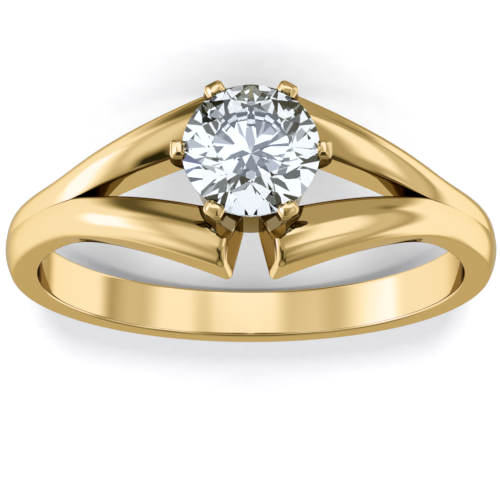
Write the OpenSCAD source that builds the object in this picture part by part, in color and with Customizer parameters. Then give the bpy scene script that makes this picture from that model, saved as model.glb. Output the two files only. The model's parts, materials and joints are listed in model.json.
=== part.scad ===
// Split shank ring with a six-claw head and a round brilliant stone.
// It is drawn standing, with its head up (+Z) and the finger along Y, and laid on its side at the end.
// Lengths are in millimetres and angles in degrees.
// An angle round the band is counted from the head, so 0 is under the stone and 180 is the back.

/* [Band] */
// Inside diameter of the band, which is the finger size
finger_d = 17.3; // [14:0.1:22]
// Width of the band at its sides and back
band_w = 2.1; // [1.6:0.05:3]
// Thickness of the band along the middle of its width
band_mid_t = 1.34; // [1.1:0.01:2]
// Thickness of the band at its two side faces
band_side_t = 1.1; // [0.8:0.01:1.8]
// Radius of the rounded edges between the domed outside and the side faces
edge_r = 0.12; // [0.05:0.01:0.25]

/* [Branches] */
// Distance from the middle of the head, along X, at which the outer faces begin to spread
flare_x = 6.75; // [5:0.05:8]
// Spread of each outer face for every millimetre towards the head
flare_rate = 0.45; // [0.3:0.01:0.6]
// Length along X over which the spread sets in
flare_ease = 0.9; // [0.3:0.05:2]
// Distance from the middle of the head, along X, at which the gap between the branches begins
split_x = 6; // [4.5:0.05:7.5]
// Width that the gap would have under the middle of the stone
gap_w = 3.2; // [2:0.05:4]
// Thickness of a branch on its outer face
branch_side_t = 1.45; // [1:0.01:2]
// Distance by which a branch's outer face leans in from the finger to its top edge
side_draft = 0.1; // [0:0.01:0.3]
// Thickness of a branch on the face along the gap
branch_gap_t = 1.4; // [1:0.01:2]
// Rise of a branch's domed top at the head, above the line between its two edges
branch_dome = 0.52; // [0.3:0.01:0.6]
// Share by which that dome is fuller towards the outer face
dome_lean = 0.25; // [0:0.01:0.5]
// Angle of the V between the ends of the left and right branches
notch_angle = 29; // [10:1:50]
// Distance of the point of that V from the middle of the head
notch_apex = 0.88; // [0.3:0.01:1.5]
// Angle by which the end of a branch leans back from upright
end_lean = 13; // [0:1:25]
// Height of the bevel along the top of a branch's end
end_bevel_h = 0.2; // [0.1:0.01:0.6]
// Angle of that bevel from upright
end_bevel_angle = 20; // [10:1:60]
// Radius of the outer corner of a branch's end, seen from above
end_round = 0.28; // [0.1:0.01:0.4]

/* [Stone] */
// Diameter of the stone
stone_d = 5; // [4:0.05:6.5]
// Diameter of the table as a share of the stone's diameter
table_share = 0.56; // [0.5:0.01:0.65]
// Height of the crown above the girdle
crown_h = 0.75; // [0.5:0.01:1.1]
// Height of the girdle
girdle_h = 0.12; // [0.05:0.01:0.2]
// Depth of the pavilion below the girdle
pavilion_h = 2.1; // [1.7:0.01:2.6]
// Length of the star facets as a share of the crown's width
star_share = 0.5; // [0.4:0.01:0.6]
// Length of the lower half facets as a share of the pavilion's width
lower_share = 0.78; // [0.6:0.01:0.85]
// Height of the culet above the finger
culet_lift = 2; // [1.6:0.01:3]
// Gap between the stone and the metal
seat_gap = 0.04; // [0.02:0.01:0.1]

/* [Claws] */
// Distance that a claw stands out beyond the stone's edge
claw_out = 0.43; // [0.25:0.01:0.6]
// Distance that a claw's nose reaches in over the stone
claw_reach = 0.22; // [0.15:0.01:0.5]
// Width of a claw
claw_w = 0.75; // [0.5:0.01:1.1]
// Height of a claw above the girdle
claw_rise = 0.27; // [0.2:0.01:0.5]
// Bevel of a claw's top towards the outside and the stone
claw_bevel = 0.13; // [0.05:0.01:0.2]
// Bevel of a claw's top towards its two sides
claw_side_bevel = 0.18; // [0.05:0.01:0.3]
// Bevel of a claw's upright outer edges
claw_corner = 0.12; // [0.04:0.01:0.2]
// Straight length of a claw below the girdle
claw_leg = 0.3; // [0.1:0.01:0.8]
// Height over which a claw curves in to the gallery
claw_curve_h = 0.85; // [0.4:0.01:1.3]
// Height of the feet that stand on the branches, above the finger
foot_top = 2.85; // [2:0.01:3.2]
// Width of a foot where it stands on its branch
foot_w = 0.42; // [0.3:0.01:0.8]
// Distance by which a foot widens upwards, towards the V between the branches
foot_flare = 0.3; // [0:0.01:0.4]
// Distance from the middle of a claw to the near side of its foot
foot_shift = 0.06; // [-0.2:0.01:0.2]
// Distance that a foot's outer face stands inside that of its claw
foot_step = 0.26; // [0.05:0.01:0.4]

/* [Gallery] */
// Outside diameter of the gallery ring
gallery_d = 4; // [3.2:0.05:5]
// Wall of the gallery ring
gallery_wall = 0.4; // [0.3:0.01:0.8]
// Height of the gallery's lower edge above the finger
gallery_lift = 0.55; // [0.4:0.01:1.4]

/* [Hidden] */
gold = [0.87, 0.73, 0.45];
clear_white = [0.93, 0.96, 1];

finger_r = finger_d / 2;
stone_r = stone_d / 2;
table_r = stone_r * table_share;
gallery_r = gallery_d / 2;
gallery_in_r = gallery_r - gallery_wall;

// Heights in the head, measured from the middle of the finger
culet_z = finger_r + culet_lift;
girdle_low_z = culet_z + pavilion_h;
girdle_top_z = girdle_low_z + girdle_h;
table_z = girdle_top_z + crown_h;
claw_top_z = girdle_top_z + claw_rise;
leg_z = girdle_low_z - claw_leg;
leg_foot_z = leg_z - claw_curve_h;
gallery_z = finger_r + gallery_lift;
foot_top_z = finger_r + foot_top;

// Corners of the stone: its facets would meet the girdle at girdle_reach if it weren't turned round
mains = 8;
main_step = 360 / mains;
girdle_reach = stone_r / cos(main_step / 4);
star_r = mix(table_r * cos(main_step / 2), stone_r, star_share);
star_z = girdle_top_z
  + crown_h * (girdle_reach - star_r * cos(main_step / 2)) / (girdle_reach - table_r);
lower_r = stone_r * (1 - lower_share);
lower_z = girdle_low_z
  - pavilion_h * (girdle_reach - lower_r * cos(main_step / 2)) / girdle_reach;

// The claws: those that stand over a branch have a foot on it
claw_count = 6;
claw_r = stone_r + claw_out;
nose_r = stone_r - claw_reach;
foot_r = claw_r - foot_step;
over_branch = 0.5;

// Overlap by which a cut runs past the metal
past = 0.4;

// Steps round the band, which are short near the head, and steps across half of its width
head_step = 2;
back_step = 5;
head_until = 60;
top_steps = 8;
gap_steps = 32;
bore_fn = 180;

// A branch's dome falls evenly from the head and would be nought at the first angle, the next two bound
// the stretch where that dome begins to lean, and the last two the stretch where the band thickens
dome_end_angle = 91;
lean_from_angle = 100;
lean_full_angle = 60;
thicken_angle = 54;
full_angle = 25;
gap_curve = 1.2;
gap_start = 0.01;

function mix(a, b, share) = a + (b - a) * share;
function smooth(share) = let (s = min(1, max(0, share))) s * s * (3 - 2 * s);

// A rise that is nought far below 0, follows u far above it and bends softly between
function soft_rise(u, ease) = (u + sqrt(u * u + ease * ease)) / 2;

// Distance from the middle of the head, along X, of the finger side of the band
function along(angle) = finger_r * (cos(angle) > 0 ? abs(sin(angle)) : 1);

// Distance of the outer faces and of the gap's faces from the middle of the band's width
function half_span(x) = band_w / 2 + flare_rate
  * (soft_rise(flare_x - x, flare_ease) - soft_rise(flare_x - finger_r, flare_ease));
function half_gap(x) = max(gap_start, gap_w / 2 * pow(max(0, 1 - x / split_x), gap_curve));

// How far the dome's lean and the thickness have changed at an angle, from the plain band to a branch
function lean_share(angle) = smooth((lean_from_angle - angle) / (lean_from_angle - lean_full_angle));
function thick_share(angle) = smooth((thicken_angle - angle) / (thicken_angle - full_angle));

// Outer radius of the metal at one angle, at the outer faces, along the gap and between
function side_r(angle) = finger_r + mix(band_side_t, branch_side_t, thick_share(angle));
function gap_r(angle) = finger_r + mix(band_mid_t, branch_gap_t, thick_share(angle));
function dome(angle) = max((band_mid_t - band_side_t) / 4, branch_dome * (1 - angle / dome_end_angle));
function top_r(angle, share) = mix(gap_r(angle), side_r(angle), share)
  + 4 * dome(angle) * share * (1 - share) * (1 + dome_lean * lean_share(angle) * (2 * share - 1));

// One section of the band as [distance across, radius] points, from one inner edge to the other
function half_section(angle) = let (
    draft = side_draft * pow(thick_share(angle), 2),
    wall_h = side_r(angle) - edge_r - finger_r,
    half = half_span(along(angle)) - draft,
    gap = half_gap(along(angle)),
    flat = half - edge_r,
    corner = edge_r * (1 - cos(45))
  ) concat(
    [
      [half + draft * (1 + past / wall_h), finger_r - past],
      [half, side_r(angle) - edge_r],
      [half - corner, side_r(angle) - corner]
    ],
    [for (i = [0:top_steps - 1]) let (across = flat * (1 - i / top_steps))
      [across, top_r(angle, max(0, (across - gap) / (flat - gap)))]]
  );

function section(angle) = let (half = half_section(angle), last = len(half) - 1) concat(
    half,
    [[0, top_r(angle, 0)]],
    [for (i = [last:-1:0]) [-half[i].x, half[i].y]]
  );

// A point of a section at its place round the band
function placed(angle, p) = [p.y * sin(angle), p.x, p.y * cos(angle)];

// Angles of the sections from the head to the back on one side, and then back on the other
half_turn = concat(
  [for (a = [0:head_step:head_until - head_step]) a],
  [for (a = [head_until:back_step:180]) a]
);
full_turn = concat(half_turn, [for (i = [len(half_turn) - 2:-1:1]) 360 - half_turn[i]]);

// Faces of a tube through count sections of size points each, with its diagonals mirrored left to right
function tube_faces(count, size, closed) = [
  for (i = [0:count - (closed ? 1 : 2)], j = [0:size - 1]) let (
    a = i * size + j,
    b = i * size + (j + 1) % size,
    c = ((i + 1) % count) * size + (j + 1) % size,
    d = ((i + 1) % count) * size + j,
    mirrored = (2 * i < count) == (2 * j + 1 < size)
  ) each mirrored ? [[a, c, b], [a, d, c]] : [[a, d, b], [b, d, c]]
];

// The end of a branch at a height above the middle of the finger, seen from above:
// the distance by which it leans back, the sharp corner of its outer face, and the rounded outline
notch_rate = tan(notch_angle / 2);
round_steps = 6;
end_bevel_z = finger_r + branch_side_t - end_bevel_h;
function end_back(z) = z < end_bevel_z
  ? tan(end_lean) * (z - finger_r)
  : end_back(end_bevel_z - 0.001) + tan(end_bevel_angle) * (z - end_bevel_z);
function outer_y(x, z) = half_span(x * finger_r / z)
  - side_draft * (z - finger_r) / (branch_side_t - edge_r);
function corner_x(z, turns) = turns == 0 ? 0
  : end_back(z) + notch_rate * (outer_y(corner_x(z, turns - 1), z) - notch_apex);
function unit(v) = v / norm(v);
function end_outline(z) = let (
    x = corner_x(z, 8),
    corner = [x, outer_y(x, z)],
    inward = unit([-notch_rate, -1]),
    outward = unit([1, -flare_rate * finger_r / z]),
    half = acos(inward * outward) / 2,
    middle = corner + unit(inward + outward) * end_round / sin(half),
    from = corner + inward * end_round / tan(half) - middle,
    turn = 180 - 2 * half
  ) [for (i = [0:round_steps]) let (a = -turn * i / round_steps)
    middle + [from.x * cos(a) - from.y * sin(a), from.x * sin(a) + from.y * cos(a)]];

// The point of that end that stands out most from the middle of the band's width
end_points = end_outline(finger_r);
end_y = max([for (p = end_points) p.y]);
end_x = min([for (p = end_points) if (p.y == end_y) p.x]);
end_z = sqrt(finger_r * finger_r - end_x * end_x);

// The ring rests on the ends of its two far branches and on the rim at its back
rim_z = finger_r + band_side_t - edge_r;
rest_tilt = atan((end_y - band_w / 2) / (end_z + rim_z));
rest_lift = end_y * cos(rest_tilt) - end_z * sin(rest_tilt);
front_y = table_z * cos(rest_tilt) + table_r * sin(rest_tilt);
back_y = max([for (p = section(180)) p.y * cos(rest_tilt) + p.x * sin(rest_tilt)]);

module laid_down() {
  translate([0, (front_y - back_y) / 2, rest_lift])
    rotate([90 - rest_tilt, 0, 0])
      children();
}

// Whole band with its domed outside, before the gap and the V are cut
module band_blank() {
  sections = [for (angle = full_turn)
    [for (p = section(min(angle, 360 - angle))) placed(angle, p)]];
  polyhedron(
    points = [for (s = sections) each s],
    faces = tube_faces(len(sections), len(sections[0]), true),
    convexity = 6
  );
}

// Space between the near and far branches, which narrows to nothing at both sides
module split_gap() {
  reach = asin(split_x / finger_r);
  sections = [for (i = [0:gap_steps]) let (
      angle = reach * (2 * i / gap_steps - 1),
      half = half_gap(along(angle)),
      low = finger_r - 2 * past,
      high = finger_r + band_mid_t + 2 * past
    ) [for (p = [[half, low], [half, high], [-half, high], [-half, low]]) placed(angle, p)]];
  size = len(sections[0]);
  last = gap_steps * size;
  polyhedron(
    points = [for (s = sections) each s],
    faces = concat(
      tube_faces(gap_steps + 1, size, false),
      [[0, 1, 2, 3]],
      [[last + 3, last + 2, last + 1, last]]
    ),
    convexity = 4
  );
}

// V between the ends of the left and right branches, on the near and far side
module end_notches() {
  near = max(gap_start, gap_w / 2 - past);
  far = half_span(0) + past;
  levels = [finger_r - past, end_bevel_z, finger_r + branch_gap_t + branch_dome + past];
  outlines = [for (z = levels) let (
      outer = end_outline(z),
      right = concat(
        [[max(gap_start, end_back(z) + notch_rate * (near - notch_apex)), near]],
        outer,
        [[outer[round_steps].x, far]]
      ),
      last = len(right) - 1
    ) [
      for (p = right) [p.x, p.y, z],
      for (i = [last:-1:0]) [-right[i].x, right[i].y, z]
    ]];
  size = len(outlines[0]);
  top = (len(levels) - 1) * size;
  for (side = [0, 180])
    rotate([0, 0, side])
      polyhedron(
        points = [for (o = outlines) each o],
        faces = concat(
          tube_faces(len(levels), size, false),
          [[for (i = [0:size - 1]) i]],
          [[for (i = [size - 1:-1:0]) top + i]]
        ),
        convexity = 4
      );
}

module shank() {
  difference() {
    band_blank();
    split_gap();
    end_notches();
  }
}

module gallery() {
  translate([0, 0, gallery_z])
    difference() {
      cylinder(r = gallery_r, h = leg_foot_z + claw_curve_h / 3 - gallery_z, $fn = 96);
      translate([0, 0, -past])
        cylinder(r = gallery_in_r, h = leg_z - gallery_z + past, $fn = 96);
    }
}

// Upper part of a claw's side view, from its inner face round its bevelled top to its outer face
claw_head_side = [
  [gallery_in_r, leg_foot_z],
  [nose_r - claw_bevel, leg_z],
  [nose_r, girdle_top_z],
  [nose_r, claw_top_z - claw_bevel],
  [nose_r + claw_bevel, claw_top_z],
  [claw_r - claw_bevel, claw_top_z],
  [claw_r, claw_top_z - claw_bevel]
];

// Side view of a claw that curves in to the gallery
module free_claw_side() {
  bend = 15;
  polygon(concat(claw_head_side, [for (turn = [0:bend:90])
    [mix(gallery_r, claw_r, cos(turn)), leg_z - claw_curve_h * sin(turn)]]));
}

// Side view of a claw that leans in to its foot on a branch
module standing_claw_side() {
  polygon(concat(claw_head_side, [
    [claw_r, leg_z],
    [foot_r, foot_top_z],
    [foot_r, gallery_z],
    [gallery_in_r, gallery_z]
  ]));
}

// Front view of a claw's head, wide from one side to the other
claw_half = claw_w / 2;
claw_head_front = [
  [claw_half, claw_top_z - claw_bevel],
  [claw_half - claw_side_bevel, claw_top_z],
  [claw_side_bevel - claw_half, claw_top_z],
  [-claw_half, claw_top_z - claw_bevel]
];

module free_claw_front() {
  polygon(concat(
    [[-claw_half, gallery_z], [claw_half, gallery_z]],
    claw_head_front
  ));
}

module standing_claw_front() {
  polygon(concat(
    [
      [-claw_half, foot_top_z],
      [foot_shift, gallery_z],
      [foot_shift + foot_w, gallery_z],
      [foot_shift + foot_w + foot_flare, foot_top_z],
      [claw_half, leg_z]
    ],
    claw_head_front
  ));
}

// View of a claw from above, wide from low to high, with its outer corners bevelled
module claw_plan(low, high) {
  polygon([
    [0, low],
    [claw_r - claw_corner, low],
    [claw_r, low + claw_corner],
    [claw_r, high - claw_corner],
    [claw_r - claw_corner, high],
    [0, high]
  ]);
}

// Claw along +X whose leg curves in to the gallery
module free_claw() {
  intersection() {
    rotate([90, 0, 0])
      linear_extrude(height = 2 * claw_w, center = true)
        free_claw_side();
    rotate([90, 0, 90])
      linear_extrude(height = claw_r + past)
        free_claw_front();
    linear_extrude(height = claw_top_z + past)
      claw_plan(-claw_half, claw_half);
  }
}

// Claw along +X with a foot towards +Y
module standing_claw() {
  foot_reach = foot_shift + foot_w + foot_flare;
  intersection() {
    rotate([90, 0, 0])
      linear_extrude(height = 4 * claw_w, center = true)
        standing_claw_side();
    rotate([90, 0, 90])
      linear_extrude(height = claw_r + past)
        standing_claw_front();
    linear_extrude(height = claw_top_z + past)
      claw_plan(-claw_half, max(claw_half, foot_reach));
  }
}

// Stone and the gap round it, as a turned shape
module stone_room() {
  crown_slope = (star_z - girdle_top_z) / (girdle_reach - star_r);
  pavilion_slope = (girdle_low_z - lower_z) / (girdle_reach - lower_r);
  wide = stone_r + seat_gap;
  rise = seat_gap * sqrt(1 + crown_slope * crown_slope);
  drop = seat_gap * sqrt(1 + pavilion_slope * pavilion_slope);
  rotate_extrude($fn = 96)
    polygon([
      [0, culet_z - drop],
      [lower_r, lower_z - drop],
      [wide, girdle_low_z - (girdle_reach - wide) * pavilion_slope - drop],
      [wide, girdle_top_z + (girdle_reach - wide) * crown_slope + rise],
      [star_r, star_z + rise],
      [table_r, table_z + rise],
      [0, table_z + rise]
    ]);
}

// All of the soldered metal: band, branches, gallery and claws
module mounting() {
  color(gold) laid_down() {
    difference() {
      union() {
        shank();
        gallery();
        for (i = [0:claw_count - 1]) let (turn = 360 * i / claw_count)
          rotate([0, 0, turn])
            if (abs(sin(turn)) < over_branch)
              free_claw();
            else
              mirror([0, sin(turn) * cos(turn) > 0 ? 0 : 1, 0])
                standing_claw();
      }
      rotate([90, 0, 0])
        cylinder(r = finger_r, h = 4 * end_y, center = true, $fn = bore_fn);
      stone_room();
    }
  }
}

// Round brilliant: a table, 32 crown facets, a turned girdle and 24 pavilion facets
module stone() {
  function ring(radius, z, count, turn) =
    [for (i = [0:count - 1]) let (a = 360 * i / count + turn) [radius * cos(a), radius * sin(a), z]];

  // First corner of each ring, from the table down
  star_at = mains;
  top_at = 2 * mains;
  low_at = 4 * mains;
  lower_at = 6 * mains;
  culet_at = 7 * mains;

  corners = concat(
    ring(table_r, table_z, mains, 0),
    ring(star_r, star_z, mains, main_step / 2),
    ring(girdle_reach, girdle_top_z, 2 * mains, 0),
    ring(girdle_reach, girdle_low_z, 2 * mains, 0),
    ring(lower_r, lower_z, mains, main_step / 2),
    [[0, 0, culet_z]]
  );

  facets = concat(
    [[for (i = [mains - 1:-1:0]) i]],
    [for (i = [0:mains - 1]) let (
        next = (i + 1) % mains,
        before = (i + mains - 1) % mains,
        main = 2 * i,
        half = 2 * i + 1,
        next_main = 2 * next
      ) each [
        [i, next, star_at + i],
        [i, star_at + i, top_at + main, star_at + before],
        [star_at + i, top_at + half, top_at + main],
        [star_at + i, top_at + next_main, top_at + half],
        [top_at + main, top_at + half, low_at + half, low_at + main],
        [top_at + half, top_at + next_main, low_at + next_main, low_at + half],
        [low_at + main, low_at + half, lower_at + i],
        [low_at + half, low_at + next_main, lower_at + i],
        [low_at + main, lower_at + i, culet_at, lower_at + before]
      ]]
  );

  color(clear_white) laid_down()
    intersection() {
      polyhedron(points = corners, faces = facets, convexity = 2);
      translate([0, 0, culet_z])
        cylinder(r = stone_r, h = table_z - culet_z, $fn = 128);
    }
}

mounting();
stone();
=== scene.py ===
"""Looks of the split shank ring: polished gold, a round brilliant stone, a pale floor and soft light.

Shapes are worked out in millimetres in the ring's own frame: x runs across the head, f along the finger,
and s from the middle of the finger up through the stone. The finger hole's mount places it in the room.
"""

import json
import math

import bmesh
import bpy
import numpy as np
from mathutils import Matrix, Vector


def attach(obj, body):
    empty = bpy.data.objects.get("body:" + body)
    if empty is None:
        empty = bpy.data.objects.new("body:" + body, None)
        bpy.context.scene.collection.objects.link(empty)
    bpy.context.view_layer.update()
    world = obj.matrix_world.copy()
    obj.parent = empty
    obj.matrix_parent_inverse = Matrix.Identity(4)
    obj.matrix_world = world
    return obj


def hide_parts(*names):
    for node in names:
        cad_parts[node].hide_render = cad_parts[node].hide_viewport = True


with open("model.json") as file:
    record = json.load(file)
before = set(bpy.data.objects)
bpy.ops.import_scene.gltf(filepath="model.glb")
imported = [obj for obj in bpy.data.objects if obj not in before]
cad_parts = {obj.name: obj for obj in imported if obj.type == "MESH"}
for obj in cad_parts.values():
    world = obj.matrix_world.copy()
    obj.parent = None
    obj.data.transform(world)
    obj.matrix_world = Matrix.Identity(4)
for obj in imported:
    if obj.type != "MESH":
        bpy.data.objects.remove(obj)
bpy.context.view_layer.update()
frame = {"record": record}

MM = 0.001
WELD = 0.0005 * MM

# Band, with an angle round it counted from the head
FINGER_R = 8.65
BAND_W = 2.1
BAND_MID_T = 1.34
BAND_SIDE_T = 1.1
FLARE_X = 6.75
FLARE_RATE = 0.45
FLARE_EASE = 0.9
SPLIT_X = 6.0
GAP_W = 3.2
BRANCH_SIDE_T = 1.45
SIDE_DRAFT = 0.1
BRANCH_GAP_T = 1.4
BRANCH_DOME = 0.52
DOME_LEAN = 0.25
DOME_END_ANGLE = 91.0
LEAN_FROM_ANGLE = 100.0
LEAN_FULL_ANGLE = 60.0
THICKEN_ANGLE = 54.0
FULL_ANGLE = 25.0
GAP_CURVE = 1.2

# Ends of the branches, and the rounding of all of the band's edges
NOTCH_RATE = math.tan(math.radians(29 / 2))
NOTCH_APEX = 0.88
END_LEAN = math.tan(math.radians(13))
END_ROUND = 0.3
END_EDGE_W = (0.1, 0.3)
END_EDGE_H = (0.12, 0.4)
OUTER_EDGE = 0.12
GAP_EDGE = 0.1
INNER_EDGE = 0.12
END_EDGE_SPREAD = 1.8
SPLIT_EASE = 1.2
EDGE_STEPS = 6
ACROSS_STEPS = 20
FACE_STEPS = 8
END_MID_R = FINGER_R + 1.3
END_FADE = 25.0
SPLIT_ANGLE = math.degrees(math.asin(SPLIT_X / FINGER_R))

# Stone
STONE_R = 2.5
TABLE_R = 1.4
CROWN_H = 0.75
GIRDLE_H = 0.12
PAVILION_H = 2.1
STAR_SHARE = 0.5
LOWER_SHARE = 0.78
CULET_S = FINGER_R + 2.0
GIRDLE_LOW_S = CULET_S + PAVILION_H
GIRDLE_TOP_S = GIRDLE_LOW_S + GIRDLE_H
TABLE_S = GIRDLE_TOP_S + CROWN_H
SEAT_GAP = 0.04

# Head
CLAW_COUNT = 6
CLAW_OUT_R = STONE_R + 0.43
CLAW_IN_R = STONE_R - 0.22
CLAW_W = 0.75
CLAW_TOP_S = GIRDLE_TOP_S + 0.27
LEG_S = GIRDLE_LOW_S - 0.3
LEG_CURVE_H = 0.85
FOOT_TOP_S = FINGER_R + 2.85
FOOT_R = CLAW_OUT_R - 0.26
FOOT_IN = 0.06
FOOT_W = 0.42
FOOT_FLARE = 0.3
CLAW_CORNER = 0.2
CLAW_TOP_CORNER = 0.06
CLAW_CORNER_TAPER = 0.7
CLAW_WALL_LEVELS = (-0.45, -0.3)
RIM_DROP = 0.15
RIM_ROUND = 0.08
RIM_W = 0.085
RIM_STEP = 0.01
TOP_INSET_OUT = 0.23
TOP_INSET_ASIDE = 0.19
CREASE_ROUND = 0.015
GALLERY_R = 2.0
GALLERY_IN_R = 1.6
GALLERY_S = FINGER_R + 0.55
GALLERY_TOP_S = LEG_S - LEG_CURVE_H + 0.28
GALLERY_EDGE = 0.06
LEG_LOW_IN_R = GALLERY_IN_R + 0.05
LEG_HIGH_IN_R = CLAW_IN_R - 0.13
LEG_LEAST_T = 0.25
LEG_CORNER = 0.8 * CLAW_CORNER
LEG_LOW_CORNER = 0.05
FOOT_CORNER = 0.04
OVERLAP = 0.01


def ring_frame():
    """Matrix from the ring's own frame to the room, from the finger hole's centre and axis."""
    hole = frame["record"]["mounts"][0]
    along_finger = Vector(hole["axis"]).normalized()
    across = Vector((1, 0, 0))
    up_stone = across.cross(along_finger)
    turn = Matrix((across, along_finger, up_stone)).transposed().to_4x4()
    return Matrix.Translation(Vector(hole["pos_m"])) @ turn @ Matrix.Scale(MM, 4)


RING = ring_frame()


def mix(a, b, share):
    return a + (b - a) * share


def smooth(share):
    s = np.clip(share, 0, 1)
    return s * s * (3 - 2 * s)


def soft_rise(u, ease):
    return (u + np.sqrt(u * u + ease * ease)) / 2


def along(angle):
    """Distance from the middle of the head, across it, of the finger side of the band."""
    return FINGER_R * np.where(angle < 90, np.sin(np.radians(angle)), 1)


def half_span(x):
    far = soft_rise(FLARE_X - FINGER_R, FLARE_EASE)
    return BAND_W / 2 + FLARE_RATE * (soft_rise(FLARE_X - x, FLARE_EASE) - far)


def half_gap(x):
    return GAP_W / 2 * np.clip(1 - x / SPLIT_X, 0, None) ** GAP_CURVE


def thick_share(angle):
    return smooth((THICKEN_ANGLE - angle) / (THICKEN_ANGLE - FULL_ANGLE))


def outer_f(angle, level):
    """Distance of the outer face from the middle of the band's width, at a level as in skin."""
    return half_span(along(angle)) - SIDE_DRAFT * thick_share(angle) ** 2 * level


def top_r(angle, f):
    """Outer radius of the band's polished top, before its edges are rounded."""
    thick = thick_share(angle)
    lean = DOME_LEAN * smooth((LEAN_FROM_ANGLE - angle) / (LEAN_FROM_ANGLE - LEAN_FULL_ANGLE))
    side = mix(BAND_SIDE_T, BRANCH_SIDE_T, thick)
    middle = mix(BAND_MID_T, BRANCH_GAP_T, thick)
    dome = np.maximum((BAND_MID_T - BAND_SIDE_T) / 4, BRANCH_DOME * (1 - angle / DOME_END_ANGLE))
    x = along(angle)
    gap = half_gap(x)
    share = (f - gap) / (outer_f(angle, 1) - OUTER_EDGE - gap)
    share = np.clip(share, 0, None)
    rise = 4 * dome * share * (1 - share) * (1 + lean * (2 * share - 1))
    return FINGER_R + mix(middle, side, share) + rise


def round_off(distance, width, height):
    """Drop of a rounded edge at a distance from it."""
    u = np.clip(1 - distance / width, 0, 1)
    return height * (1 - np.sqrt(1 - u * u))


def end_angle(f, r):
    """Angle at which the leaning cut end of a branch lies."""
    angle = np.zeros_like(r)
    for _ in range(4):
        back = END_LEAN * (r * np.cos(angle) - FINGER_R)
        angle = np.arcsin((back + NOTCH_RATE * (f - NOTCH_APEX)) / r)
    return np.degrees(angle)


def skin(turn, place, level):
    """Points on one quarter of the band.

    turn is the angle from the branch's cut end. place runs across the band: 0 is the outer face, 1 to 2
    its middle and 3 the gap's face. level is 0 on the finger side, 1 on the top, and between on the faces.
    """
    end_gap = np.radians(turn) * END_MID_R
    in_corner = (end_gap < END_ROUND) & (place < 1)
    a = np.clip(1 - end_gap / END_ROUND, 0, 1)
    b = np.clip(1 - place, 0, 1)
    longest = np.maximum(a, b)
    pull = np.where(in_corner, longest / np.maximum(np.hypot(a, b), 1e-9), 1)
    end_gap = np.where(in_corner, END_ROUND * (1 - a * pull), end_gap)
    inset = END_ROUND * (1 - b * pull)
    depth = END_ROUND * (1 - longest)
    facing = np.arctan2(b, a) / (math.pi / 2)

    from_end = np.degrees(end_gap / END_MID_R)
    follow = 1 - smooth(from_end / END_FADE)
    angle = from_end
    for _ in range(12):
        x = along(angle)
        outer = outer_f(angle, level)
        width = outer - half_gap(x)
        opening = smooth((SPLIT_X - x) / SPLIT_EASE)
        gap_edge = mix(GAP_EDGE / 3, GAP_EDGE, opening)
        across = np.select([place < 1, place < 2],
                           [inset, mix(END_ROUND, width - gap_edge, place - 1)],
                           width - (3 - place) * gap_edge)
        f = outer - across
        to_gap = width - across

        inward = smooth(across / END_EDGE_SPREAD)
        wide = mix(END_EDGE_W[1], END_EDGE_W[0], inward)
        high = mix(END_EDGE_H[1], END_EDGE_H[0], inward)
        drop = (round_off(end_gap, wide, high) + round_off(across, OUTER_EDGE, OUTER_EDGE)
                + opening * round_off(to_gap, gap_edge, gap_edge))
        corner_drop = mix(round_off(depth, END_ROUND, END_EDGE_H[1]),
                          round_off(depth, OUTER_EDGE, OUTER_EDGE), facing)
        rise = (round_off(end_gap, INNER_EDGE, INNER_EDGE)
                + round_off(across, INNER_EDGE, INNER_EDGE)
                + opening * round_off(to_gap, gap_edge, gap_edge))
        corner_rise = round_off(depth, INNER_EDGE, INNER_EDGE)
        r = mix(FINGER_R + np.where(in_corner, corner_rise, rise),
                top_r(angle, f) - np.where(in_corner, corner_drop, drop), level)
        angle = from_end + follow * end_angle(f, r)
    rad = np.radians(angle)
    return np.stack([r * np.sin(rad), f, r * np.cos(rad)], -1)


def edge_steps(count):
    """Shares from 0 to 1 that divide a quarter circle's rounding evenly."""
    return [1 - math.cos(math.pi / 2 * k / count) for k in range(count + 1)]


def spread(start, stop, first, growth, largest):
    """Values from start to stop whose steps grow from first to largest."""
    values = [start]
    step = first
    while values[-1] + 1.5 * step < stop:
        values.append(values[-1] + step)
        step = min(step * growth, largest)
    values.append(stop)
    return values


def grid_faces(rows, columns):
    return [(i * columns + j, i * columns + j + 1, (i + 1) * columns + j + 1, (i + 1) * columns + j)
            for i in range(rows - 1) for j in range(columns - 1)]


def quarter_grids():
    """The skin of one quarter of the band, as grids of points."""
    unit = math.degrees(1 / END_MID_R)
    at_end = [END_ROUND * unit * d for d in edge_steps(EDGE_STEPS)]
    near = spread(at_end[-1], SPLIT_ANGLE, 0.06 * unit, 1.02, 0.5)
    far = spread(SPLIT_ANGLE, 180.0, 0.55, 1.03, 1.5)
    turns = at_end[:-1] + near[:-1] + far
    split_row = turns.index(SPLIT_ANGLE)

    outer_edge = [OUTER_EDGE / END_ROUND * d for d in edge_steps(EDGE_STEPS)]
    outer_flat = [mix(outer_edge[-1], 1, k / 3) for k in (1, 2)]
    middle = [1 + k / ACROSS_STEPS for k in range(ACROSS_STEPS + 1)]
    gap_side = [3 - d for d in reversed(edge_steps(EDGE_STEPS))]
    places = outer_edge + outer_flat + middle + gap_side[1:]
    levels = [k / FACE_STEPS for k in range(FACE_STEPS + 1)]

    def grid(turn_list, row_list):
        turn = np.array(turn_list, float)[:, None] + np.zeros(len(row_list))
        place = np.array([row[0] for row in row_list], float)[None, :] + 0 * turn
        level = np.array([row[1] for row in row_list], float)[None, :] + 0 * turn
        return skin(turn, place, level)

    under = [(place, 0) for place in reversed(places)]
    outside = [(0, level) for level in levels[1:-1]]
    over = [(place, 1) for place in places]
    gap_face = [(3, level) for level in levels]
    cut_end = np.stack([grid([0], [(place, level) for place in places])[0] for level in levels])
    return [grid(turns, under + outside + over), grid(turns[:split_row + 1], gap_face), cut_end]


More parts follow.
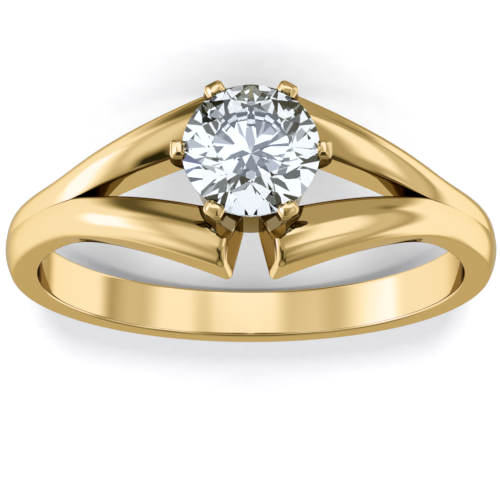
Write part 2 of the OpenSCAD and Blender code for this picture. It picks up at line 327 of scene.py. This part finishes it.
def mesh_object(name, vertices, faces, matrix=RING):
    mesh = bpy.data.meshes.new(name)
    mesh.from_pydata([tuple(matrix @ Vector(v)) for v in vertices], [], faces)
    piece = bpy.data.objects.new(name, mesh)
    bpy.context.scene.collection.objects.link(piece)
    return piece


def weld(piece):
    """Joins points that lie on each other and turns all faces outwards."""
    work = bmesh.new()
    work.from_mesh(piece.data)
    bmesh.ops.remove_doubles(work, verts=work.verts, dist=WELD)
    bmesh.ops.recalc_face_normals(work, faces=work.faces)
    work.to_mesh(piece.data)
    work.free()


def make_band():
    vertices = []
    faces = []
    for grid in quarter_grids():
        rows, columns = grid.shape[:2]
        for mirror_x in (1, -1):
            for mirror_f in (1, -1):
                base = len(vertices)
                points = grid.reshape(-1, 3) * np.array([mirror_x, mirror_f, 1])
                vertices += points.tolist()
                faces += [tuple(base + i for i in face) for face in grid_faces(rows, columns)]
    band = mesh_object("band", vertices, faces)
    weld(band)
    return band


def rounded_rectangle(low, high, corner, steps=5):
    """Points round a rectangle from corner low to corner high, anticlockwise."""
    quarters = ((high[0], high[1], 0), (low[0], high[1], 90),
                (low[0], low[1], 180), (high[0], low[1], 270))
    points = []
    for x, y, start in quarters:
        cx = x - corner if x == high[0] else x + corner
        cy = y - corner if y == high[1] else y + corner
        for k in range(steps + 1):
            turn = math.radians(start + 90 * k / steps)
            points.append((cx + corner * math.cos(turn), cy + corner * math.sin(turn)))
    return points


def loft(name, sections, place=lambda p: p):
    """Closed solid through sections from low to high, each a height and an outline of as many points."""
    size = len(sections[0][1])
    vertices = [place((x, y, height)) for height, outline in sections for x, y in outline]
    faces = [tuple(reversed(range(size)))]
    for i in range(len(sections) - 1):
        for j in range(size):
            k = (j + 1) % size
            faces.append((i * size + j, i * size + k, (i + 1) * size + k, (i + 1) * size + j))
    faces.append(tuple(range((len(sections) - 1) * size, len(sections) * size)))
    return mesh_object(name, vertices, faces)


def claw_place(angle, mirrored):
    """Turns a claw's own (out, aside, height) points to their place in the ring's frame."""
    c = math.cos(math.radians(angle))
    s = math.sin(math.radians(angle))

    def place(point):
        out, aside, height = point
        aside = -aside if mirrored else aside
        return (out * c - aside * s, out * s + aside * c, height)
    return place


def head_sections():
    """The claw's head above its leg: upright walls, a rounded rim, a slope and a flat top."""
    half = CLAW_W / 2
    steps = 4
    profile = [(0, 0, drop) for drop in (LEG_S - CLAW_TOP_S, *CLAW_WALL_LEVELS, -RIM_DROP - RIM_ROUND)]
    for k in range(1, steps + 1):
        turn = math.pi / 2 * k / steps
        inset = RIM_ROUND * (1 - math.cos(turn))
        profile.append((inset, inset, -RIM_DROP - RIM_ROUND * (1 - math.sin(turn))))
    foot = RIM_W + CREASE_ROUND
    profile.append((RIM_W, RIM_W, -RIM_DROP + RIM_STEP))
    profile.append((foot, foot, -RIM_DROP + RIM_STEP + CREASE_ROUND))
    profile.append((TOP_INSET_OUT - CREASE_ROUND, TOP_INSET_ASIDE - CREASE_ROUND, -0.8 * CREASE_ROUND))
    profile.append((TOP_INSET_OUT, TOP_INSET_ASIDE, 0))
    sections = []
    for out, aside, drop in profile:
        corner = max(CLAW_TOP_CORNER, CLAW_CORNER - CLAW_CORNER_TAPER * max(out, aside))
        low = (CLAW_IN_R + out, -half + aside)
        high = (CLAW_OUT_R - out, half - aside)
        sections.append((CLAW_TOP_S + drop, rounded_rectangle(low, high, corner)))
    return sections


def free_claw(name, angle):
    """A claw whose leg curves in to the gallery."""
    half = CLAW_W / 2
    steps = 12
    sections = []
    for k in range(steps, 0, -1):
        turn = math.pi / 2 * k / steps
        share = math.sin(turn)
        outer = mix(GALLERY_R, CLAW_OUT_R, math.cos(turn)) + OVERLAP
        inner = min(mix(LEG_HIGH_IN_R, LEG_LOW_IN_R, share), outer - LEG_LEAST_T)
        outline = rounded_rectangle((inner, -half), (outer, half), LEG_CORNER)
        sections.append((LEG_S - LEG_CURVE_H * share, outline))
    return loft(name, sections + head_sections(), claw_place(angle, False))


def standing_claw(name, angle, mirrored):
    """A claw that stands on the foot block beside a branch's end."""
    half = CLAW_W / 2
    steps = 8
    foot_out = FOOT_IN + FOOT_W + FOOT_FLARE
    sections = []
    for k in range(steps):
        share = k / steps
        low = (mix(LEG_LOW_IN_R, LEG_HIGH_IN_R, share), -half)
        high = (mix(FOOT_R, CLAW_OUT_R, share), mix(foot_out, half, share))
        outline = rounded_rectangle(low, high, LEG_LOW_CORNER + FOOT_CORNER * share)
        sections.append((mix(FOOT_TOP_S, LEG_S, share), outline))
    return loft(name, sections + head_sections(), claw_place(angle, mirrored))


def claw_foot(name, angle, mirrored):
    """The block on the branch under a standing claw, which widens upwards."""
    steps = 6
    sections = []
    for k in range(steps + 1):
        share = k / steps
        high = (FOOT_R, FOOT_IN + FOOT_W + FOOT_FLARE * share)
        outline = rounded_rectangle((LEG_LOW_IN_R, FOOT_IN), high, FOOT_CORNER)
        sections.append((mix(GALLERY_S + 0.1, FOOT_TOP_S + 2 * OVERLAP, share), outline))
    return loft(name, sections, claw_place(angle, mirrored))


def turned(name, profile, steps=96):
    """Closed ring or solid turned round the stone's axis from (radius, height) points."""
    size = len(profile)
    vertices = []
    for i in range(steps):
        turn = 2 * math.pi * i / steps
        vertices += [(r * math.cos(turn), r * math.sin(turn), h) for r, h in profile]
    faces = []
    for i in range(steps):
        for j in range(size):
            a, b = i * size + j, i * size + (j + 1) % size
            c, d = (i + 1) % steps * size + (j + 1) % size, (i + 1) % steps * size + j
            faces.append((a, b, c, d))
    piece = mesh_object(name, vertices, faces)
    weld(piece)
    return piece


def boolean(piece, other, operation):
    cut = piece.modifiers.new("cut", "BOOLEAN")
    cut.operation = operation
    cut.solver = "EXACT"
    cut.object = other
    depsgraph = bpy.context.evaluated_depsgraph_get()
    result = bpy.data.meshes.new_from_object(piece.evaluated_get(depsgraph))
    piece.modifiers.clear()
    piece.data = result
    bpy.data.objects.remove(other)


def stone_corners():
    """Radii and heights that the stone's facets share with the room cut for it."""
    step = math.pi / 4
    reach = STONE_R / math.cos(step / 4)
    star_r = mix(TABLE_R * math.cos(step / 2), STONE_R, STAR_SHARE)
    star_s = GIRDLE_TOP_S + CROWN_H * (reach - star_r * math.cos(step / 2)) / (reach - TABLE_R)
    lower_r = STONE_R * (1 - LOWER_SHARE)
    lower_s = GIRDLE_LOW_S - PAVILION_H * (reach - lower_r * math.cos(step / 2)) / reach
    return reach, star_r, star_s, lower_r, lower_s


def stone_room(name):
    reach, star_r, star_s, lower_r, lower_s = stone_corners()
    crown_slope = (star_s - GIRDLE_TOP_S) / (reach - star_r)
    pavilion_slope = (GIRDLE_LOW_S - lower_s) / (reach - lower_r)
    wide = STONE_R + SEAT_GAP
    rise = SEAT_GAP * math.hypot(1, crown_slope)
    drop = SEAT_GAP * math.hypot(1, pavilion_slope)
    return turned(name, [
        (0, CULET_S - drop),
        (lower_r, lower_s - drop),
        (wide, GIRDLE_LOW_S - (reach - wide) * pavilion_slope - drop),
        (wide, GIRDLE_TOP_S + (reach - wide) * crown_slope + rise),
        (star_r, star_s + rise),
        (TABLE_R, TABLE_S + rise),
        (0, TABLE_S + rise),
    ])


def make_stone():
    reach, star_r, star_s, lower_r, lower_s = stone_corners()
    mains = 8

    def ring(radius, height, count, turn):
        angles = [2 * math.pi * i / count + turn for i in range(count)]
        return [(radius * math.cos(a), radius * math.sin(a), height) for a in angles]

    half_step = math.pi / mains
    corners = (ring(TABLE_R, TABLE_S, mains, 0) + ring(star_r, star_s, mains, half_step)
               + ring(reach, GIRDLE_TOP_S, 2 * mains, 0) + ring(reach, GIRDLE_LOW_S, 2 * mains, 0)
               + ring(lower_r, lower_s, mains, half_step) + [(0, 0, CULET_S)])
    star, top, low, lower, culet = mains, 2 * mains, 4 * mains, 6 * mains, 7 * mains
    faces = [tuple(range(mains))]
    for i in range(mains):
        after = (i + 1) % mains
        before = (i - 1) % mains
        main, half, next_main = 2 * i, 2 * i + 1, 2 * after
        faces += [
            (i, star + i, after),
            (i, star + before, top + main, star + i),
            (star + i, top + main, top + half),
            (star + i, top + half, top + next_main),
            (top + main, low + main, low + half, top + half),
            (top + half, low + half, low + next_main, top + next_main),
            (low + main, lower + i, low + half),
            (low + half, lower + i, low + next_main),
            (low + main, lower + before, culet, lower + i),
        ]
    piece = mesh_object("brilliant", corners, faces)
    weld(piece)
    low = CULET_S - 1
    high = TABLE_S + 1
    girdle = turned("girdle_round", [(0, low), (STONE_R, low), (STONE_R, high), (0, high)], 128)
    boolean(piece, girdle, "INTERSECT")
    frosted = piece.data.attributes.new("girdle", "FLOAT", "FACE")
    axis = RING.to_3x3().col[2].normalized()
    for k, face in enumerate(piece.data.polygons):
        frosted.data[k].value = 1.0 if abs(face.normal.dot(axis)) < 0.1 else 0.0
    return piece


def make_gallery():
    inner = GALLERY_IN_R + GALLERY_EDGE
    outer = GALLERY_R - GALLERY_EDGE
    low = GALLERY_S + GALLERY_EDGE
    high = GALLERY_TOP_S - GALLERY_EDGE
    steps = 4
    profile = []
    for r, h, start in ((outer, low, -90), (outer, high, 0), (inner, high, 90), (inner, low, 180)):
        for k in range(steps + 1):
            turn = math.radians(start + 90 * k / steps)
            profile.append((r + GALLERY_EDGE * math.cos(turn), h + GALLERY_EDGE * math.sin(turn)))
    return turned("gallery", profile)


def join(pieces, name):
    """One mesh of all the pieces, which are removed as they go in."""
    bm = bmesh.new()
    for piece in pieces:
        bm.from_mesh(piece.data)
        bpy.data.objects.remove(piece)
    mesh = bpy.data.meshes.new(name)
    bm.to_mesh(mesh)
    bm.free()
    joined = bpy.data.objects.new(name, mesh)
    bpy.context.scene.collection.objects.link(joined)
    return joined


def make_mounting():
    parts = [make_band(), make_gallery()]
    for k in range(CLAW_COUNT):
        angle = 360 * k / CLAW_COUNT
        aside = math.sin(math.radians(angle))
        if abs(aside) < 0.5:
            claw = free_claw(f"claw_{k}", angle)
        else:
            mirrored = aside * math.cos(math.radians(angle)) < 0
            claw = standing_claw(f"claw_{k}", angle, mirrored)
            parts.append(claw_foot(f"foot_{k}", angle, mirrored))
        weld(claw)
        boolean(claw, stone_room("room"), "DIFFERENCE")
        parts.append(claw)
    return join(parts, "mounting_polished")


# Camera, with its rise and distance in the ring's own frame, and its shift in pixels of the photo
CAMERA_RISE = math.radians(72.76)
CAMERA_AWAY = 105.0
CAMERA_LENS = 185.1
PHOTO_SIZE = 500
SHIFT_RIGHT_PX = -1
SHIFT_UP_PX = 5.33
VIEW_RIGHT = Vector((-1, 0, 0))
VIEW_UP = Vector((0, -math.sin(CAMERA_RISE), math.cos(CAMERA_RISE)))
VIEW_BACK = Vector((0, math.cos(CAMERA_RISE), math.sin(CAMERA_RISE)))
RING_TURN = RING.to_3x3() @ Matrix.Scale(1 / MM, 3)


def place_camera():
    world_turn = RING_TURN @ Matrix((VIEW_RIGHT, VIEW_UP, VIEW_BACK)).transposed()
    data = bpy.data.cameras.new("camera")
    data.sensor_width = 36
    data.lens = CAMERA_LENS
    data.shift_x = SHIFT_RIGHT_PX / PHOTO_SIZE
    data.shift_y = SHIFT_UP_PX / PHOTO_SIZE
    data.clip_start = 0.001
    data.clip_end = 10
    camera = bpy.data.objects.new("camera", data)
    camera.matrix_world = Matrix.Translation(RING @ (VIEW_BACK * CAMERA_AWAY)) @ world_turn.to_4x4()
    bpy.context.scene.collection.objects.link(camera)
    bpy.context.scene.camera = camera


def make_material(name):
    material = bpy.data.materials.new(name)
    material.use_nodes = True
    nodes = material.node_tree.nodes
    nodes.clear()
    shader = nodes.new("ShaderNodeBsdfPrincipled")
    output = nodes.new("ShaderNodeOutputMaterial")
    material.node_tree.links.new(shader.outputs[0], output.inputs[0])
    return material, material.node_tree, shader


def math_node(tree, operation, *values):
    node = tree.nodes.new("ShaderNodeMath")
    node.operation = operation
    for socket, value in zip(node.inputs, values):
        if isinstance(value, (int, float)):
            socket.default_value = value
        else:
            tree.links.new(value, socket)
    return node.outputs[0]


def ramp_node(tree, value, low, high, to_low, to_high, kind="SMOOTHSTEP"):
    node = tree.nodes.new("ShaderNodeMapRange")
    node.interpolation_type = kind
    tree.links.new(value, node.inputs["Value"])
    limits = {"From Min": low, "From Max": high, "To Min": to_low, "To Max": to_high}
    for name, number in limits.items():
        node.inputs[name].default_value = number
    return node.outputs[0]


def dot_node(tree, vector, fixed):
    node = tree.nodes.new("ShaderNodeVectorMath")
    node.operation = "DOT_PRODUCT"
    tree.links.new(vector, node.inputs[0])
    node.inputs[1].default_value = fixed
    return node.outputs["Value"]


def mix_shader(tree, share, first, second):
    node = tree.nodes.new("ShaderNodeMixShader")
    for socket, value in zip(node.inputs, (share, first, second)):
        tree.links.new(value, socket)
    return node.outputs[0]


# Gold: its own polished colour, a darker painted shade for the gallery and legs under the stone, the tint
# of its edges, and its finish in the room's metres
POLISH = (0.98, 0.71, 0.3, 1)
PAINTED_SHADE = (0.24, 0.165, 0.06, 1)
EDGE_TINT = (0.95, 0.82, 0.55, 1)
GOLD_ROUGHNESS = (0.02, 0.075)
SMEAR_SCALE = 900
SCRATCH_SCALE = 2600
SCRATCH_STRETCH = (1, 1, 0.06)
SCRATCH_STRENGTH = 0.05
SCRATCH_DEPTH = 0.004 * MM
EVEN = (1, 1, 1)


def mark_painted_shade(piece):
    """Marks the gallery and the legs for painted shade, a darker gold that stands in for the shade and
    dark reflections under the stone, in a point attribute.
    """
    share = piece.data.attributes.new("painted_shade", "FLOAT", "POINT")
    back = RING.inverted()
    for k, vertex in enumerate(piece.data.vertices):
        x, f, s = back @ vertex.co
        out = math.hypot(x, f)
        in_gallery = out < GALLERY_R + 0.02 and GALLERY_S - 0.02 < s < LEG_S
        on_leg = out < CLAW_OUT_R + 0.1 and FOOT_TOP_S + 0.05 < s < CLAW_TOP_S - 0.25
        share.data[k].value = 1.0 if in_gallery else 0.95 if on_leg else 0.0


def noise_node(tree, place, scale, detail, stretch):
    """Noise over the place, with its grain drawn out where the stretch is below 1."""
    mapping = tree.nodes.new("ShaderNodeMapping")
    mapping.inputs["Scale"].default_value = stretch
    tree.links.new(place, mapping.inputs["Vector"])
    noise = tree.nodes.new("ShaderNodeTexNoise")
    noise.inputs["Scale"].default_value = scale
    noise.inputs["Detail"].default_value = detail
    tree.links.new(mapping.outputs[0], noise.inputs["Vector"])
    return noise.outputs["Fac"]


def make_gold():
    material, tree, shader = make_material("gold")
    # The point attribute mixes in painted shade: darker gold on the gallery and legs that stands in for
    # their shade and dark reflections.
    painted_shade = tree.nodes.new("ShaderNodeAttribute")
    painted_shade.attribute_name = "painted_shade"
    colour = tree.nodes.new("ShaderNodeMix")
    colour.data_type = "RGBA"
    tree.links.new(painted_shade.outputs["Fac"], colour.inputs["Factor"])
    colour.inputs["A"].default_value = POLISH
    colour.inputs["B"].default_value = PAINTED_SHADE
    tree.links.new(colour.outputs["Result"], shader.inputs["Base Color"])
    shader.inputs["Metallic"].default_value = 1
    shader.inputs["Specular Tint"].default_value = EDGE_TINT
    place = tree.nodes.new("ShaderNodeTexCoord").outputs["Object"]
    smears = noise_node(tree, place, SMEAR_SCALE, 4, EVEN)
    tree.links.new(ramp_node(tree, smears, 0.35, 0.7, *GOLD_ROUGHNESS), shader.inputs["Roughness"])
    scratches = noise_node(tree, place, SCRATCH_SCALE, 2, SCRATCH_STRETCH)
    bump = tree.nodes.new("ShaderNodeBump")
    bump.inputs["Strength"].default_value = SCRATCH_STRENGTH
    bump.inputs["Distance"].default_value = SCRATCH_DEPTH
    tree.links.new(scratches, bump.inputs["Height"])
    tree.links.new(bump.outputs[0], shader.inputs["Normal"])
    return material


# Stone: clear white, with a frosted girdle
DIAMOND_IOR = 2.42
DIAMOND_SPECULAR = 0.1
DIAMOND_TINT = (0.85, 0.85, 0.62, 1)
GIRDLE_ROUGHNESS = (0.2, 0.45)
GIRDLE_SCALE = 9000


def make_diamond():
    material, tree, shader = make_material("diamond")
    shader.inputs["Base Color"].default_value = (1, 1, 1, 1)
    frosted = tree.nodes.new("ShaderNodeAttribute")
    frosted.attribute_name = "girdle"
    place = tree.nodes.new("ShaderNodeTexCoord").outputs["Object"]
    grain = ramp_node(tree, noise_node(tree, place, GIRDLE_SCALE, 2, EVEN), 0.3, 0.7, *GIRDLE_ROUGHNESS)
    rough = math_node(tree, "MULTIPLY", frosted.outputs["Fac"], grain)
    tree.links.new(rough, shader.inputs["Roughness"])
    shader.inputs["IOR"].default_value = DIAMOND_IOR
    shader.inputs["Specular IOR Level"].default_value = DIAMOND_SPECULAR
    shader.inputs["Specular Tint"].default_value = DIAMOND_TINT
    shader.inputs["Transmission Weight"].default_value = 1
    return material


# The studio round the ring: soft panels and dark flags, each centred at a turn and a rise in degrees and
# given by (turn, half width, rise, half height, side softness, end softness, brightness)
STUDIO_BASE = 0.4
STUDIO = (
    (-105, 45, 0, 48, 15, 8, 0.65),  # left_wide
    (-75, 20, 0, 22, 6, 6, 0.3),  # left_core
    (120, 25, 0, 42, 6, 6, 0.7),  # right_wide
    (48, 15, 12, 33, 8, 5, 0.7),  # right_front
    (75, 10, -5, 40, 8, 8, 0.25),  # right_middle
    (-35, 15, 5, 30, 10, 12, 0.45),  # left_front
    (5, 25, 42, 12, 8, 5, 0.8),  # front_top
    (-75, 60, 61, 8, 8, 6, -0.3),  # top_left_flag
    (-28, 9, -26, 9, 6, 10, -0.6),  # low_left_flag
    (-145, 14, 48, 5, 5, 4, -0.4),  # back_left_flag
    (98, 8, 50, 6, 7, 6, -0.2),  # top_right_flag
    (57, 8, -35, 8, 7, 6, 0.6),  # low_right_card
    (50, 10, -47, 14, 7, 7, -0.25),  # low_right_flag
    (0, 180, -62, 6, 10, 8, -0.3),  # under_flag
    (0, 25, -45, 13, 7, 6, -0.35),  # low_front_flag
    (180, 30, -22, 45, 12, 6, 0.15),  # back_card
)


# Cards round the stone. Each cell has a value from 0 to 1, and a colour holds from the value beside it
# up: white, two greys and black.
CARD_SIZE = 2.8
CARD_PLACE = (0.3, 0.1, 0.7)
CARDS = ((0.0, (1.13, 1.2, 1.18)), (0.62, (0.46, 0.5, 0.53)),
         (0.74, (0.13, 0.15, 0.17)), (0.85, (0.004, 0.006, 0.012)))


def make_sparkle(tree, direction):
    """White, grey and black cards all round, which only the light through the stone meets."""
    place = tree.nodes.new("ShaderNodeMapping")
    place.inputs["Location"].default_value = CARD_PLACE
    tree.links.new(direction, place.inputs["Vector"])
    cells = tree.nodes.new("ShaderNodeTexVoronoi")
    cells.inputs["Scale"].default_value = CARD_SIZE
    tree.links.new(place.outputs[0], cells.inputs["Vector"])
    parts = tree.nodes.new("ShaderNodeSeparateColor")
    tree.links.new(cells.outputs["Color"], parts.inputs[0])
    ramp = tree.nodes.new("ShaderNodeValToRGB")
    ramp.color_ramp.interpolation = "CONSTANT"
    while len(ramp.color_ramp.elements) < len(CARDS):
        ramp.color_ramp.elements.new(0.5)
    for element, (start, colour) in zip(ramp.color_ramp.elements, CARDS):
        element.position = start
        element.color = (*colour, 1)
    tree.links.new(parts.outputs[0], ramp.inputs[0])
    node = tree.nodes.new("ShaderNodeBackground")
    tree.links.new(ramp.outputs[0], node.inputs["Color"])
    return node.outputs[0]


# Light: plain for the camera and the floor, and the studio for what the metal mirrors. Light that the gold
# throws on the floor is made neutral, and a reflection of a reflection keeps a share of the studio.
PLAIN_LIGHT = 0.86
BOUNCED_LIGHT = (0.3, 0.42, 0.98, 1)
SECOND_LIGHT = 0.3
LEAST_LIGHT = 0.02
# The studio's red and blue against its green, from its darkest to its brightest part, and a bluer top
TINT_SPAN = 1.4
RED_TINT = (1.14, 0.86)
BLUE_TINT = (0.5, 1.62)
GLARE_SPAN = (1.1, 1.45)
GLARE_TINT = (1, 1.4)
KEY_RISE = math.radians(12)
KEY_POWER = 8.0
KEY_SPREAD = math.radians(12)


def studio_brightness(tree, direction):
    """The base light with each panel and flag added, for a direction in the room."""
    side = dot_node(tree, direction, RING_TURN @ VIEW_RIGHT)
    top = dot_node(tree, direction, RING_TURN @ VIEW_UP)
    front = dot_node(tree, direction, RING_TURN @ VIEW_BACK)
    turn = math_node(tree, "DEGREES", math_node(tree, "ARCTAN2", side, front))
    height = math_node(tree, "DEGREES", math_node(tree, "ARCSINE", top))
    total = STUDIO_BASE
    for centre, half_w, middle, half_h, soft_w, soft_h, bright in STUDIO:
        aside = math_node(tree, "WRAP", math_node(tree, "SUBTRACT", turn, centre), 180, -180)
        aside = math_node(tree, "ABSOLUTE", aside)
        above = math_node(tree, "ABSOLUTE", math_node(tree, "SUBTRACT", height, middle))
        in_width = ramp_node(tree, aside, half_w - soft_w, half_w + soft_w, 1, 0)
        in_height = ramp_node(tree, above, half_h - soft_h, half_h + soft_h, 1, 0)
        inside = math_node(tree, "MULTIPLY", in_width, in_height)
        total = math_node(tree, "ADD", math_node(tree, "MULTIPLY", inside, bright), total)
    return math_node(tree, "MAXIMUM", total, LEAST_LIGHT)


def studio_colour(tree, total):
    red = math_node(tree, "MULTIPLY", total, ramp_node(tree, total, 0, TINT_SPAN, *RED_TINT, "LINEAR"))
    blue = math_node(tree, "MULTIPLY", total, ramp_node(tree, total, 0, TINT_SPAN, *BLUE_TINT, "LINEAR"))
    blue = math_node(tree, "MULTIPLY", blue, ramp_node(tree, total, *GLARE_SPAN, *GLARE_TINT))
    colour = tree.nodes.new("ShaderNodeCombineColor")
    for socket, value in zip(colour.inputs, (red, total, blue)):
        tree.links.new(value, socket)
    return colour.outputs[0]


def background(tree, colour):
    node = tree.nodes.new("ShaderNodeBackground")
    node.inputs["Color"].default_value = colour
    return node


def make_world():
    world = bpy.data.worlds.new("studio")
    bpy.context.scene.world = world
    world.use_nodes = True
    tree = world.node_tree
    tree.nodes.clear()
    direction = tree.nodes.new("ShaderNodeTexCoord").outputs["Generated"]
    path = tree.nodes.new("ShaderNodeLightPath").outputs

    studio = tree.nodes.new("ShaderNodeBackground")
    tree.links.new(studio_colour(tree, studio_brightness(tree, direction)), studio.inputs["Color"])
    again = math_node(tree, "MAXIMUM", math_node(tree, "SUBTRACT", path["Glossy Depth"], 1), 0)
    tree.links.new(math_node(tree, "POWER", SECOND_LIGHT, again), studio.inputs["Strength"])
    bounced = background(tree, BOUNCED_LIGHT)
    plain = background(tree, (1, 1, 1, 1))
    plain.inputs["Strength"].default_value = PLAIN_LIGHT

    from_floor = math_node(tree, "GREATER_THAN", path["Diffuse Depth"], 0.5)
    mirrored = mix_shader(tree, from_floor, studio.outputs[0], bounced.outputs[0])
    through = mix_shader(tree, path["Is Transmission Ray"], mirrored, make_sparkle(tree, direction))
    is_plain = math_node(tree, "MAXIMUM", path["Is Camera Ray"], path["Is Diffuse Ray"])
    output = tree.nodes.new("ShaderNodeOutputWorld")
    tree.links.new(mix_shader(tree, is_plain, through, plain.outputs[0]), output.inputs[0])


def make_key_light():
    data = bpy.data.lights.new("key", "SUN")
    data.energy = KEY_POWER
    data.angle = KEY_SPREAD
    light = bpy.data.objects.new("key", data)
    light.rotation_euler = (math.pi / 2 - KEY_RISE, 0, 0)
    light.visible_glossy = False
    light.visible_transmission = False
    bpy.context.scene.collection.objects.link(light)


# Floor: half its width in metres, and the tones of its fine grain
FLOOR_HALF = 1.0
FLOOR_GRAIN = 1500
FLOOR_TONES = (0.89, 0.91)
FLOOR_ROUGHNESS = 0.9


def make_floor():
    corners = [(FLOOR_HALF * x, FLOOR_HALF * y, 0) for x, y in ((-1, -1), (1, -1), (1, 1), (-1, 1))]
    floor = mesh_object("floor", corners, [(0, 1, 2, 3)], Matrix.Identity(4))
    floor.visible_glossy = False
    floor.visible_transmission = False
    material, tree, shader = make_material("floor")
    place = tree.nodes.new("ShaderNodeTexCoord").outputs["Object"]
    grain = noise_node(tree, place, FLOOR_GRAIN, 3, EVEN)
    tone = ramp_node(tree, grain, 0.3, 0.7, *FLOOR_TONES)
    colour = tree.nodes.new("ShaderNodeCombineColor")
    for socket in colour.inputs:
        tree.links.new(tone, socket)
    tree.links.new(colour.outputs[0], shader.inputs["Base Color"])
    shader.inputs["Roughness"].default_value = FLOOR_ROUGHNESS
    floor.data.materials.append(material)


SHARP_ANGLE = math.radians(30)

gold = make_mounting()
mark_painted_shade(gold)
gold.data.materials.append(make_gold())
for face in gold.data.polygons:
    face.use_smooth = True
gold.data.set_sharp_from_angle(angle=SHARP_ANGLE)
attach(gold, "root")
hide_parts("mounting")

stone = make_stone()
stone.data.materials.append(make_diamond())
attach(stone, "root")
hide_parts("stone")

make_floor()
make_world()
make_key_light()
place_camera()

scene = bpy.context.scene
scene.view_settings.view_transform = "Standard"
scene.view_settings.look = "None"
